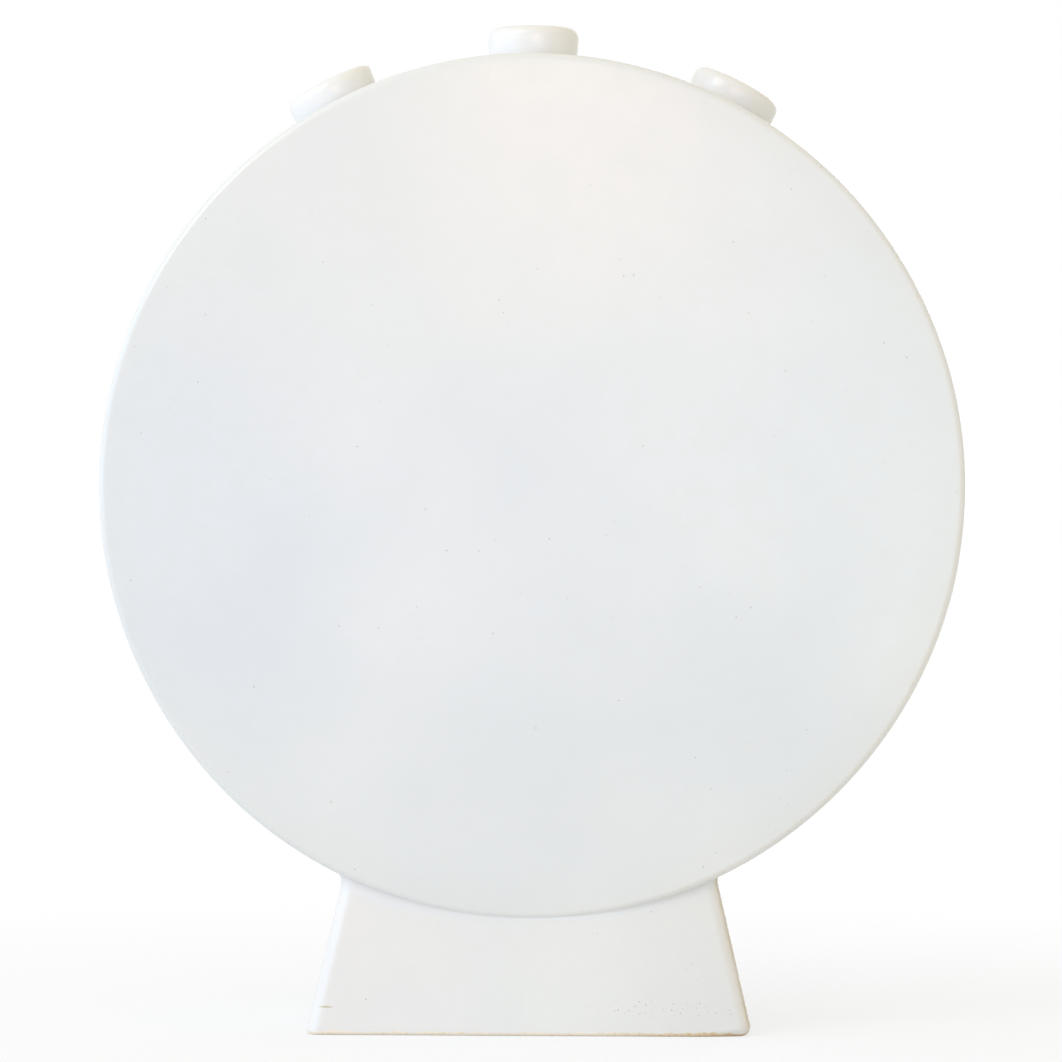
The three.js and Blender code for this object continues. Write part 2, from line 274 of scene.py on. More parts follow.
def pressing_tree():
    """Lays a coil of clay along a line and presses it home with a fingertip, dent after dent."""
    tree, given = new_tree("pressed_coil", {
        "Section": "Object", "Step": "Float", "Pitch": "Float", "Dent": "Float", "Seed": "Float",
        "Material": "Material"})
    drawn = node(tree, "GeometryNodeMeshToCurve", {"Mesh": given["Geometry"]})
    line = node(tree, "GeometryNodeResampleCurve", {
        "Curve": drawn.outputs["Curve"], "Length": given["Step"]}, mode="LENGTH")
    along = node(tree, "GeometryNodeSplineParameter")
    presses = node(tree, "ShaderNodeMath", {
        0: along.outputs["Length"], 1: given["Pitch"]}, operation="DIVIDE")
    uneven = node(tree, "ShaderNodeTexNoise", {
        "W": given["Seed"], "Scale": 1 / FINGER_DRIFT}, noise_dimensions="4D")
    late = node(tree, "ShaderNodeMath", {
        0: presses.outputs[0], 1: uneven.outputs["Fac"]}, operation="ADD")
    phase = node(tree, "ShaderNodeMath", {0: late.outputs[0], 1: math.tau}, operation="MULTIPLY")
    wave = node(tree, "ShaderNodeMath", {0: phase.outputs[0]}, operation="COSINE")
    swell = node(tree, "ShaderNodeMath", {
        0: wave.outputs[0], 1: given["Dent"], 2: 1.0}, operation="MULTIPLY_ADD")
    section = node(tree, "GeometryNodeObjectInfo", {"Object": given["Section"]})
    outline = node(tree, "GeometryNodeMeshToCurve", {"Mesh": section.outputs["Geometry"]})
    pressed = node(tree, "GeometryNodeCurveToMesh", {
        "Curve": line.outputs["Curve"], "Profile Curve": outline.outputs["Curve"],
        "Scale": swell.outputs[0], "Fill Caps": True})
    return end_tree(tree, pressed.outputs["Mesh"], given["Material"])


def skin_tree():
    """Lets the walls waver, and scatters pinholes that burst through the glaze in the kiln."""
    tree, given = new_tree("hand_built_skin", {
        "Waver": "Float", "Waver Length": "Float", "Flat Base": "Float", "Pit": "Object",
        "Pit Radius": "Float", "Pit Spacing": "Float", "Pits": "Float", "Seed": "Int",
        "Material": "Material"})
    place = node(tree, "GeometryNodeInputPosition").outputs["Position"]
    waves = node(tree, "ShaderNodeMath", {0: 1.0, 1: given["Waver Length"]}, operation="DIVIDE")
    drift = node(tree, "ShaderNodeTexNoise", {
        "Vector": place, "Scale": waves.outputs[0], "Detail": WAVER_DETAIL})
    centred = node(tree, "ShaderNodeVectorMath", {
        0: drift.outputs["Color"], 1: (0.5,) * 3}, operation="SUBTRACT")
    doubled = node(tree, "ShaderNodeMath", {0: given["Waver"], 1: 2.0}, operation="MULTIPLY")
    moved = node(tree, "ShaderNodeVectorMath", {
        0: centred.outputs["Vector"], "Scale": doubled.outputs[0]}, operation="SCALE")
    height = node(tree, "ShaderNodeSeparateXYZ", {0: place})
    rise = node(tree, "ShaderNodeMapRange", {
        "Value": height.outputs["Z"], "From Max": given["Flat Base"]}, interpolation_type="SMOOTHSTEP")
    level = node(tree, "ShaderNodeCombineXYZ", {"X": 1.0, "Y": 1.0, "Z": rise.outputs["Result"]})
    offset = node(tree, "ShaderNodeVectorMath", {
        0: moved.outputs["Vector"], 1: level.outputs["Vector"]}, operation="MULTIPLY")
    wall = node(tree, "GeometryNodeSetPosition", {
        "Geometry": given["Geometry"], "Offset": offset.outputs["Vector"]})
    share = node(tree, "GeometryNodeInputNamedAttribute", {"Name": "pit_share"}, data_type="FLOAT")
    spots = node(tree, "GeometryNodeDistributePointsOnFaces", {
        "Mesh": wall.outputs["Geometry"], "Distance Min": given["Pit Spacing"],
        "Density Max": given["Pits"], "Density Factor": share.outputs["Attribute"],
        "Seed": given["Seed"]}, distribute_method="POISSON")
    pit = node(tree, "GeometryNodeObjectInfo", {"Object": given["Pit"]})
    smallest, largest = PIT_SIZES
    spread = node(tree, "FunctionNodeRandomValue", {
        2: smallest, 3: largest, "Seed": given["Seed"]}, data_type="FLOAT")
    size = node(tree, "ShaderNodeMath", {
        0: spread.outputs[1], 1: given["Pit Radius"]}, operation="MULTIPLY")
    pits = node(tree, "GeometryNodeInstanceOnPoints", {
        "Points": spots.outputs["Points"], "Instance": pit.outputs["Geometry"],
        "Rotation": spots.outputs["Rotation"], "Scale": size.outputs[0]})
    both = node(tree, "GeometryNodeJoinGeometry", {
        "Geometry": [wall.outputs["Geometry"], pits.outputs["Instances"]]})
    return end_tree(tree, both.outputs["Geometry"], given["Material"])


# Materials


def new_material(name, roughness):
    """A material of one shader, its tree and its place on the piece."""
    material = bpy.data.materials.new(name)
    material.use_nodes = True
    tree = material.node_tree
    tree.nodes.clear()
    shader = node(tree, "ShaderNodeBsdfPrincipled", {"Roughness": roughness, "IOR": CERAMIC_IOR})
    node(tree, "ShaderNodeOutputMaterial", {"Surface": shader.outputs["BSDF"]})
    place = node(tree, "ShaderNodeTexCoord").outputs["Object"]
    return material, tree, shader, place


def make_white_glaze():
    """Satin white stoneware glaze, sprayed and fired. The eye sees a soft sheen over a skin that is a
    little uneven, cool where the coat is thick, warm where it ran thin over an edge, and bare toasted
    clay where it was wiped from the foot."""
    material, tree, shader, place = new_material("satin_white_glaze_fired_on_stoneware", GLAZE_ROUGHNESS)

    # The coat, a little thicker here and thinner there
    clouds = node(tree, "ShaderNodeTexNoise", {
        "Vector": place, "Scale": 1 / COAT_SIZE, "Detail": 2.0, "Roughness": 0.45})
    coat = node(tree, "ShaderNodeMapRange", {
        "Value": clouds.outputs["Fac"], "From Min": 0.34, "From Max": 0.66})
    thick = node(tree, "ShaderNodeMix", {
        0: coat.outputs["Result"], 6: linear("#E5EAF0"), 7: linear("#EBEFF3")}, data_type="RGBA")
    mottle = node(tree, "ShaderNodeTexNoise", {
        "Vector": place, "Scale": 1 / MOTTLE_SIZE, "Detail": 3.0, "Roughness": 0.6})
    fine = node(tree, "ShaderNodeMapRange", {
        "Value": mottle.outputs["Fac"], "From Min": 0.3, "From Max": 0.7, "To Max": 0.22})
    mottled = node(tree, "ShaderNodeMix", {
        0: fine.outputs["Result"], 6: thick.outputs[2], 7: linear("#E3E8EB")}, data_type="RGBA")

    # The tints of each piece, painted light and shade among them
    tone = node(tree, "ShaderNodeAttribute", attribute_name="tone")
    toned = node(tree, "ShaderNodeMix", {
        0: 1.0, 6: mottled.outputs[2], 7: tone.outputs["Color"]}, data_type="RGBA", blend_type="MULTIPLY")

    # Thin over edges and broken to the clay in specks, and painted shade in hollows, drawn as pooled glaze
    edge = node(tree, "ShaderNodeAttribute", attribute_name="thin")
    ran_thin = node(tree, "ShaderNodeMath", {
        0: edge.outputs["Fac"], 1: mottle.outputs["Fac"]}, operation="MULTIPLY", use_clamp=True)
    thinned = node(tree, "ShaderNodeMix", {
        0: ran_thin.outputs[0], 6: toned.outputs[2], 7: linear("#EEEBE6")}, data_type="RGBA")
    specks = node(tree, "ShaderNodeTexNoise", {"Vector": place, "Scale": 1 / SPECK_SIZE, "Detail": 2.0})
    breaking = node(tree, "ShaderNodeMath", {
        0: edge.outputs["Fac"], 1: 0.16, 2: specks.outputs["Fac"]}, operation="MULTIPLY_ADD")
    broken = node(tree, "ShaderNodeMapRange", {
        "Value": breaking.outputs[0], "From Min": 0.76, "From Max": 0.86, "To Max": 0.6})
    speckled = node(tree, "ShaderNodeMix", {
        0: broken.outputs["Result"], 6: thinned.outputs[2], 7: linear("#D2C2A8")}, data_type="RGBA")
    # Painted shade: hollows and creases turn grey where shade falls
    hollow = node(tree, "ShaderNodeAttribute", attribute_name="pool")
    painted_shade = node(tree, "ShaderNodeMath", {
        0: hollow.outputs["Fac"], 1: 0.8}, operation="MULTIPLY", use_clamp=True)
    hollows_shaded = node(tree, "ShaderNodeMix", {
        0: painted_shade.outputs[0], 6: speckled.outputs[2], 7: linear("#D6DBDA")}, data_type="RGBA")

    # Bare clay at the table and inside the foot
    grog = node(tree, "ShaderNodeTexVoronoi", {"Vector": place, "Scale": 1 / GROG_SIZE})
    grit = node(tree, "ShaderNodeMapRange", {
        "Value": grog.outputs["Distance"], "From Min": 0.15, "From Max": 0.6})
    pale = node(tree, "ShaderNodeMix", {
        0: grit.outputs["Result"], 6: linear("#EBE0CE"), 7: linear("#F4EDE2")}, data_type="RGBA")
    toasted = node(tree, "ShaderNodeMix", {
        0: grit.outputs["Result"], 6: linear("#CDB592"), 7: linear("#DECBAD")}, data_type="RGBA")
    ragged = node(tree, "ShaderNodeTexNoise", {"Vector": place, "Scale": 1 / RAGGED_SIZE, "Detail": 2.0})
    height = node(tree, "ShaderNodeSeparateXYZ", {0: place})
    still_pale, all_toasted = CLAY_DARKENS_ACROSS
    darker_across = node(tree, "ShaderNodeMapRange", {
        "Value": height.outputs["X"], "From Min": still_pale, "From Max": all_toasted},
        interpolation_type="SMOOTHSTEP")
    clay = node(tree, "ShaderNodeMix", {
        0: darker_across.outputs["Result"], 6: pale.outputs[2], 7: toasted.outputs[2]}, data_type="RGBA")
    wiped = node(tree, "ShaderNodeMath", {
        0: ragged.outputs["Fac"], 1: -RAGGED_REACH, 2: height.outputs["Z"]}, operation="MULTIPLY_ADD")
    below = node(tree, "ShaderNodeMapRange", {
        "Value": wiped.outputs[0], "From Min": GLAZE_LINE - 1.3 * MM, "From Max": GLAZE_LINE - 0.9 * MM,
        "To Min": 1.0, "To Max": 0.0})
    inside = node(tree, "ShaderNodeAttribute", attribute_name="bare")
    torn = node(tree, "ShaderNodeMath", {
        0: ragged.outputs["Fac"], 1: 0.5, 2: inside.outputs["Fac"]}, operation="MULTIPLY_ADD")
    unglazed = node(tree, "ShaderNodeMapRange", {
        "Value": torn.outputs[0], "From Min": 0.7, "From Max": 0.85})
    bare = node(tree, "ShaderNodeMath", {
        0: below.outputs["Result"], 1: unglazed.outputs["Result"]}, operation="MAXIMUM")
    body = node(tree, "ShaderNodeMix", {
        0: bare.outputs[0], 6: hollows_shaded.outputs[2], 7: clay.outputs[2]}, data_type="RGBA")

    # Burst pinholes, and the tear at one end of the foot
    burst = node(tree, "ShaderNodeAttribute", attribute_name="pit")
    colour = node(tree, "ShaderNodeMix", {
        0: burst.outputs["Fac"], 6: body.outputs[2], 7: linear("#C4C3C0")}, data_type="RGBA")
    at_tear = node(tree, "ShaderNodeMapping", {
        "Vector": place, "Location": TEAR_PLACE, "Scale": TEAR_REACH}, vector_type="TEXTURE")
    tear = node(tree, "ShaderNodeTexGradient", {
        "Vector": at_tear.outputs["Vector"]}, gradient_type="SPHERICAL")
    ragged_tear = node(tree, "ShaderNodeMath", {
        0: specks.outputs["Fac"], 1: 0.6, 2: tear.outputs["Fac"]}, operation="MULTIPLY_ADD")
    opened = node(tree, "ShaderNodeMapRange", {
        "Value": ragged_tear.outputs[0], "From Min": 0.5, "From Max": 0.8, "To Max": 0.85})
    marked = node(tree, "ShaderNodeMix", {
        0: opened.outputs["Result"], 6: colour.outputs[2], 7: linear("#CAC4AF")}, data_type="RGBA")
    tree.links.new(marked.outputs[2], shader.inputs["Base Color"])

    # Satin where it is glazed, and dry where the clay is bare
    smoothest, roughest = GLAZE_SHEEN
    sheen = node(tree, "ShaderNodeMapRange", {
        "Value": mottle.outputs["Fac"], "From Min": 0.3, "From Max": 0.7, "To Min": smoothest,
        "To Max": roughest})
    rough = node(tree, "ShaderNodeMix", {
        0: bare.outputs[0], 2: sheen.outputs["Result"], 3: CLAY_ROUGHNESS}, data_type="FLOAT")
    tree.links.new(rough.outputs[0], shader.inputs["Roughness"])

    # Orange peel over a slower ripple
    peel = node(tree, "ShaderNodeTexNoise", {"Vector": place, "Scale": 1 / PEEL_SIZE, "Detail": 1.0})
    ripple = node(tree, "ShaderNodeBump", {
        "Height": peel.outputs["Fac"], "Strength": 0.15, "Distance": 0.05 * MM})
    slow = node(tree, "ShaderNodeBump", {
        "Height": mottle.outputs["Fac"], "Strength": 0.3, "Distance": 0.1 * MM,
        "Normal": ripple.outputs["Normal"]})
    tree.links.new(slow.outputs["Normal"], shader.inputs["Normal"])
    return material


def make_bare_clay():
    """Buff stoneware left unglazed, smoothed with a finger and fired. The eye sees a dry, sandy skin
    with paler and darker grains of grog, and a toasted blush."""
    material, tree, shader, place = new_material("buff_stoneware_unglazed_finger_smoothed", CLAY_ROUGHNESS)
    blush = node(tree, "ShaderNodeTexNoise", {"Vector": place, "Scale": 1 / BLUSH_SIZE, "Detail": 3.0})
    toasted = node(tree, "ShaderNodeMix", {
        0: blush.outputs["Fac"], 6: linear("#E6D9C4"), 7: linear("#D6C2A3")}, data_type="RGBA")
    grog = node(tree, "ShaderNodeTexVoronoi", {"Vector": place, "Scale": 1 / GROG_SIZE})
    grit = node(tree, "ShaderNodeMapRange", {
        "Value": grog.outputs["Distance"], "From Min": 0.1, "From Max": 0.45, "To Min": 0.5, "To Max": 0.0})
    grains = node(tree, "ShaderNodeMix", {
        0: grit.outputs["Result"], 6: toasted.outputs[2], 7: linear("#C0A781")}, data_type="RGBA")
    tree.links.new(grains.outputs[2], shader.inputs["Base Color"])
    sand = node(tree, "ShaderNodeTexNoise", {"Vector": place, "Scale": 1 / SAND_SIZE, "Detail": 3.0})
    tooth = node(tree, "ShaderNodeBump", {
        "Height": sand.outputs["Fac"], "Strength": 0.6, "Distance": 0.25 * MM})
    tree.links.new(tooth.outputs["Normal"], shader.inputs["Normal"])
    return material


# Shapes


def arc(centre, radius, start, end, steps):
    """Points of an arc, angles in degrees."""
    turns = np.radians(np.linspace(start, end, steps + 1))
    return [(centre[0] + radius * math.cos(t), centre[1] + radius * math.sin(t)) for t in turns]


def bend(start, middle, end, steps):
    """Points of a parabola through two ends, drawn towards a middle point."""
    shares = np.linspace(0, 1, steps + 1)
    weights = ((1 - shares) ** 2, 2 * shares * (1 - shares), shares ** 2)
    return [tuple(p) for p in sum(np.outer(w, p) for w, p in zip(weights, (start, middle, end)))]


def line_mesh(points, closed=False):
    """A mesh of edges through points."""
    count = len(points)
    edges = [(i, (i + 1) % count) for i in range(count if closed else count - 1)]
    mesh = bpy.data.meshes.new("line")
    mesh.from_pydata([(*p, 0) if len(p) == 2 else p for p in points], edges, [])
    return mesh


def weld(mesh):
    """Closes seams and poles, and turns every face outwards."""
    shell = bmesh.new()
    shell.from_mesh(mesh)
    bmesh.ops.remove_doubles(shell, verts=shell.verts, dist=WELD)
    bmesh.ops.dissolve_degenerate(shell, edges=shell.edges, dist=WELD)
    bmesh.ops.recalc_face_normals(shell, faces=shell.faces)
    shell.to_mesh(mesh)
    shell.free()
    return mesh


def turned(profile, steps, turn, place, closed=False):
    """A round piece from its profile, given as distance from the axis and height along it."""
    points = [(radius - HUB, -height) for radius, height in profile]
    sizes = {"Steps": steps, "Hub": HUB, "Turn": turn, "Place": place, "Material": white_glaze}
    return weld(run_tree(turning, line_mesh(points, closed), sizes))


def points_of(mesh):
    """The places of a mesh's points, one row each."""
    places = np.empty(len(mesh.vertices) * 3)
    mesh.vertices.foreach_get("co", places)
    return places.reshape(-1, 3)


def normals_of(mesh):
    """The normals of a mesh's points, one row each."""
    normals = np.empty(len(mesh.vertices) * 3)
    mesh.vertices.foreach_get("normal", normals)
    return normals.reshape(-1, 3)


def store(mesh, name, values):
    """Stores a number at each point of a mesh."""
    layer = mesh.attributes.new(name, "FLOAT", "POINT")
    layer.data.foreach_set("value", np.asarray(values, float))


def smoothstep(low, high, values):
    """0 at low and 1 at high, with a soft start and a soft end."""
    share = np.clip((values - low) / (high - low), 0, 1)
    return share * share * (3 - 2 * share)


def reaches_off(x, z, place, reach):
    """How far points are from a place on the front, in reaches across and up."""
    return np.hypot((x - place[0]) / reach[0], (z - place[1]) / reach[1])


def store_glaze_flow(mesh, painted_shade=0):
    """Stores how thin fired glaze runs on rounded edges, and how much painted shade, drawn as pooled glaze,
    lies in hollows, with any painted shade given besides."""
    places = points_of(mesh)
    count = len(places)
    normals = normals_of(mesh)
    ends = np.empty(len(mesh.edges) * 2, int)
    mesh.edges.foreach_get("vertices", ends)
    a, b = ends.reshape(-1, 2).T
    step = places[b] - places[a]
    square = np.maximum((step ** 2).sum(1), WELD ** 2)
    bend_a = -2 * (normals[a] * step).sum(1) / square
    bend_b = 2 * (normals[b] * step).sum(1) / square
    shared = np.bincount(a, minlength=count) + np.bincount(b, minlength=count)
    curve = (np.bincount(a, bend_a, count) + np.bincount(b, bend_b, count)) / np.maximum(shared, 1)
    curve[np.abs(curve) > 1 / JOINT_BEND] = 0
    for _ in range(FLOW_PASSES):
        near = np.bincount(a, curve[b], count) + np.bincount(b, curve[a], count)
        curve = (curve + near / np.maximum(shared, 1)) / 2
    # Thinner edges, and stronger painted shade in hollows, towards the right
    coat = SPRAY_LEAST + (1 - SPRAY_LEAST) * smoothstep(-SPRAY_REACH, SPRAY_REACH, places[:, 0])
    store(mesh, "thin", np.clip(curve * THIN_BEND, 0, 1) * coat)
    # Painted shade in hollows, drawn as pooled glaze
    store(mesh, "pool", np.clip(painted_shade - curve * HOLLOW_SHADE_BEND * coat, 0, 1))


def store_tone(mesh, tints):
    """Stores how the colour departs from the coat's usual white, as a factor, painted light and shade
    among it. Each tint has its share at each point and the white that is drawn there."""
    usual = np.array(linear(USUAL_WHITE))
    tone = np.ones((len(mesh.vertices), len(usual)))
    for share, white in tints:
        tone *= 1 + np.outer(share, linear(white) / usual - 1)
    layer = mesh.attributes.new("tone", "FLOAT_COLOR", "POINT")
    layer.data.foreach_set("color", tone.ravel())


def store_bare(mesh):
    """Stores where clay is left bare: inside the foot, behind its walls."""
    x, y, z = points_of(mesh).T
    inside_x = FOOT_HALF_WIDTH - z * FOOT_LEAN - np.abs(x)
    inside_y = FOOT_HALF_DEPTH - z * FOOT_LEAN - np.abs(y)
    depth = np.minimum(inside_x, inside_y)
    under = smoothstep(*BARE_UNDER, (BODY_CENTRE - z) / BODY_RADIUS)
    store(mesh, "bare", smoothstep(*BARE_DEPTH, depth) * under)


def outward_share(mesh, facing):
    """The few pinholes on faces that look a given way."""
    return PIT_FEW * smoothstep(*PIT_FACING, normals_of(mesh) @ np.array(facing, float))


def disc_profile():
    """From the middle of the face, over the rolled rim and the arris, to the seam and back inside."""
    flat = BODY_RADIUS - ROLL_WIDTH
    arris = BODY_RADIUS - RIM_ROUND
    shoulder = SLAB - ROLL_DROP
    profile = [(r, SLAB) for r in np.linspace(0, flat, FACE_STEPS + 1)[:-1]]
    profile += bend((flat, SLAB), ((flat + arris) / 2, SLAB), (arris, shoulder), ROLL_STEPS)[:-1]
    profile += arc((arris, shoulder - RIM_ROUND), RIM_ROUND, 90, 0, ROUND_STEPS)[:-1]
    for height in np.linspace(shoulder - RIM_ROUND, 0, SEAM_STEPS + 1):
        profile.append((BODY_RADIUS - seam_dip(height), height))
    profile += [(r, 0) for r in np.linspace(BODY_RADIUS - BAND, 0, INSIDE_STEPS + 1)]
    return profile


def seam_dip(distance):
    """How far the rim dips at a distance from the seam."""
    return SEAM_DIP * math.exp(-(distance / SEAM_SOFT) ** 2)


def band_profile():
    """Across the outside from seam to seam, finely near the seams, and back across the inside."""
    near_seam, between = np.linspace(0.85, 1, 12), np.linspace(-0.8, 0.8, 24)
    outside = []
    for share in (*-near_seam[::-1], *between, *near_seam):
        outside.append((BODY_RADIUS - seam_dip(SEAM_PLANE * (1 - abs(share))), share * SEAM_PLANE))
    inside = [(BODY_RADIUS - BAND, y) for y in np.linspace(SEAM_PLANE, -SEAM_PLANE, SEAM_STEPS + 1)]
    return outside + inside


def band_cutter():
    """The three bores, and the saw cut of the splice under the body."""
    cutter = bmesh.new()
    deep = 3 * BAND
    for fan in (-SPOUT_FAN, 0, SPOUT_FAN):
        place = Matrix.Rotation(fan, 4, "Y") @ Matrix.Translation((0, 0, BODY_RADIUS))
        bmesh.ops.create_cone(
            cutter, cap_ends=True, segments=SPOUT_TURN, radius1=SPOUT_BORE, radius2=SPOUT_BORE, depth=deep,
            matrix=Matrix.Translation((0, 0, BODY_CENTRE)) @ place)
    splice = Matrix.Translation((0, 0, BODY_CENTRE - BODY_RADIUS + BAND / 2))
    splice = splice @ Matrix.Rotation(SPLICE_SLANT, 4, "Y")
    scarf = BAND / math.cos(SPLICE_SLANT)
    bmesh.ops.create_cube(
        cutter, size=1, matrix=splice @ Matrix.Diagonal((SPLICE_GAP, 3 * SEAM_PLANE, 3 * scarf, 1)))
    mesh = bpy.data.meshes.new("cutter")
    cutter.to_mesh(mesh)
    cutter.free()
    return mesh


def cut(mesh, cutter_mesh):
    """A mesh less another."""
    host = bpy.data.objects.new("clay", mesh)
    cutter = bpy.data.objects.new("cutter", cutter_mesh)
    for made in (host, cutter):
        bpy.context.collection.objects.link(made)
    modifier = host.modifiers.new("cut", "BOOLEAN")
    modifier.operation = "DIFFERENCE"
    modifier.solver = "EXACT"
    modifier.object = cutter
    made = plain_mesh(host)
    bpy.data.objects.remove(cutter)
    return made


def spout_profile(height):
    """From the bore, out along the band, up the wall and over the lip, and down the bore again."""
    lip = height - WAVER
    shoulder = lip - LIP_ROUND
    skirt = SPOUT_NECK + NECK_FILLET
    profile = [(SPOUT_BORE, -SPOUT_SUNK), (skirt, -SPOUT_SUNK)]
    profile += arc((skirt, NECK_FILLET), NECK_FILLET, 270, 180, SMALL_ROUND_STEPS)
    wall = bend(
        (SPOUT_NECK, NECK_FILLET), (SPOUT_WIDEST, shoulder / 2), (SPOUT_WIDEST, shoulder), ROLL_STEPS)
    profile += wall[1:]
    profile += arc((SPOUT_WIDEST - LIP_ROUND, shoulder), LIP_ROUND, 0, 90, ROUND_STEPS)[1:]
    mouth = SPOUT_BORE + MOUTH_ROUND
    profile += arc((mouth, lip - MOUTH_ROUND), MOUTH_ROUND, 90, 180, SMALL_ROUND_STEPS)
    bore = np.linspace(lip - MOUTH_ROUND, -SPOUT_SUNK, BORE_STEPS + 1)
    profile += [(SPOUT_BORE, h) for h in bore[1:-1]]
    return profile


def spout(height, fan):
    """A spout turned true, then its lower end bent to the round of the band and set out on the fan."""
    mesh = turned(spout_profile(height), SPOUT_TURN, (0, 0, 0), (0, 0, 0), closed=True)
    places = points_of(mesh)
    fit = 1 - smoothstep(0, height - LIP_ROUND, places[:, 2])
    places[:, 2] -= fit * (BODY_RADIUS - np.sqrt(BODY_RADIUS ** 2 - places[:, 0] ** 2))
    mesh.vertices.foreach_set("co", places.ravel())
    out = Matrix.Rotation(fan, 4, "Y") @ Matrix.Translation((0, 0, BODY_RADIUS))
    mesh.transform(Matrix.Translation((0, 0, BODY_CENTRE)) @ out)
    mesh.update()
    return mesh


def rim_height(x, y):
    """Height of the underside of the body, rounded arris included, over a place on the table."""
    round_start = SEAM_PLANE + SLAB - ROLL_DROP - RIM_ROUND
    into_round = np.clip(np.abs(y) - round_start, 0, RIM_ROUND)
    radius = BODY_RADIUS - RIM_ROUND + np.sqrt(RIM_ROUND ** 2 - into_round ** 2)
    return BODY_CENTRE - np.sqrt(np.maximum(radius ** 2 - x ** 2, 0))


def foot_wall(half_along, half_out, quarter):
    """One leaning wall of the foot, from mitre to mitre. It stands towards +v with its length along
    u, and is turned into place by quarter turns."""
    corner = np.radians(np.linspace(45, 90, CORNER_STEPS + 1))
    plan = [(1, math.cos(t), math.sin(t)) for t in corner]
    plan += [(side, 0, 1) for side in np.linspace(1, -1, WALL_COLUMNS + 1)[1:-1]]
    plan += [(-1, -across, out) for _, across, out in reversed(plan[:len(corner)])]
    side, across, out = np.array(plan).T
    turn = Matrix.Rotation(quarter * math.pi / 2, 3, "Z")
    lengthwise = quarter % 2 == 0  # the front and the back, whose u is the table's x

    def outer(z, inset):
        u = side * (half_along - z * FOOT_LEAN - FOOT_CORNER) + across * (FOOT_CORNER - inset)
        v = half_out - z * FOOT_LEAN - FOOT_CORNER + out * (FOOT_CORNER - inset)
        return u, v

    def inner(z, inset):
        u = outer(z, 0)[0]
        limit = half_along - z * FOOT_LEAN - WALL - inset
        return np.clip(u, -limit, limit), half_out - z * FOOT_LEAN - WALL - inset

    def body_over(u, v):
        return rim_height(u, v) if lengthwise else rim_height(v, u)

    def top(face):
        z = np.full(len(side), BODY_CENTRE - BODY_RADIUS)
        for _ in range(COPE_PASSES):
            z = body_over(*face(z, 0))
        return z

    # The outside, from the arris at the table up to the glaze that gathered under the body
    base_x = np.array([(turn @ Vector((u, v, 0))).x for u, v in zip(*outer(0, 0))])
    arris = FOOT_ARRIS + FOOT_WEAR * smoothstep(*WEAR_REACH, base_x / FOOT_HALF_WIDTH)
    rings = []
    for t in np.radians(np.linspace(0, 90, FOOT_ARRIS_STEPS + 1)):
        z = arris * (1 - math.cos(t))
        rings.append((*outer(z, arris * (1 - math.sin(t))), z))
    outer_top = top(outer)
    left = smoothstep(*LEFT_REACH, -base_x / FOOT_HALF_WIDTH)
    down, along = (usual + (most - usual) * left for usual, most in zip(FOOT_FILLET, LEFT_FILLET))
    for share in np.linspace(0, 1, WALL_RINGS + 1)[1:]:
        z = arris + (outer_top - down - arris) * share
        rings.append((*outer(z, 0), z))
    on_wall = rings[-1]
    crease = (*outer(outer_top, 0), outer_top)
    u, v = outer(outer_top, -along)
    if lengthwise:
        v = np.minimum(v, SEAM_PLANE + SLAB - ROLL_DROP - FILLET_STOP * RIM_ROUND)
    on_rim = (u, v, body_over(u, v))
    for share in np.linspace(0, 1, SMALL_ROUND_STEPS + 1)[1:]:
        rings.append([(1 - share) ** 2 * a + 2 * share * (1 - share) * b + share ** 2 * c
                      for a, b, c in zip(on_wall, crease, on_rim)])

    # The top, pressed into the band, and the inside down to its own arris
    rings.append((*outer(outer_top + FOOT_SUNK, 2 * FOOT_SUNK), outer_top + FOOT_SUNK))
    inner_top = top(inner)
    rings.append((*inner(inner_top + FOOT_SUNK, 0), inner_top + FOOT_SUNK))
    for share in np.linspace(0, 1, INNER_RINGS + 1):
        z = inner_top + (INNER_ARRIS - inner_top) * share
        rings.append((*inner(z, 0), z))
    for t in np.radians(np.linspace(0, 90, INNER_ARRIS_STEPS + 1)[1:]):
        z = INNER_ARRIS * (1 - math.sin(t))
        rings.append((*inner(z, -INNER_ARRIS * (1 - math.cos(t))), z))

    columns = len(side)
    vertices = []
    for u, v, z in rings:
        for point in zip(u, np.broadcast_to(v, u.shape), np.broadcast_to(z, u.shape)):
            vertices.append(turn @ Vector(point))
    faces = []
    for ring in range(len(rings)):
        here, there = ring * columns, (ring + 1) % len(rings) * columns
        for i in range(columns - 1):
            faces.append((here + i, here + i + 1, there + i + 1, there + i))
    for end in (0, columns - 1):
        faces.append([ring * columns + end for ring in range(len(rings))])
    mesh = bpy.data.meshes.new("wall")
    mesh.from_pydata(vertices, [], faces)
    return weld(mesh)


def pit_mesh():
    """A burst bubble in the glaze, one unit in radius: a raised lip round a sunken floor of clay."""
    # Radius, height, and 1 for the floor of clay
    rings = [(0.58, 0.01, 1), (0.66, 0.06, 0), (0.9, 0.09, 0), (1.5, -0.01, 0), (1.5, -0.4, 0)]
    around = 8
    shell = bmesh.new()
    burst = shell.verts.layers.float.new("pit")
    rows = []
    for radius, height, floor in rings:
        row = []
        for i in range(around):
            turn = math.tau * i / around
            vertex = shell.verts.new((radius * math.cos(turn), radius * math.sin(turn), height))
            vertex[burst] = floor
            row.append(vertex)
        rows.append(row)
    for low, high in zip(rows, rows[1:]):
        for i in range(around):
            shell.faces.new((low[i], high[i], high[(i + 1) % around], low[(i + 1) % around]))
    shell.faces.new(rows[0])
    shell.faces.new(rows[-1][::-1])
    bmesh.ops.recalc_face_normals(shell, faces=shell.faces)
    mesh = bpy.data.meshes.new("pit")
    shell.to_mesh(mesh)
    shell.free()
    return mesh


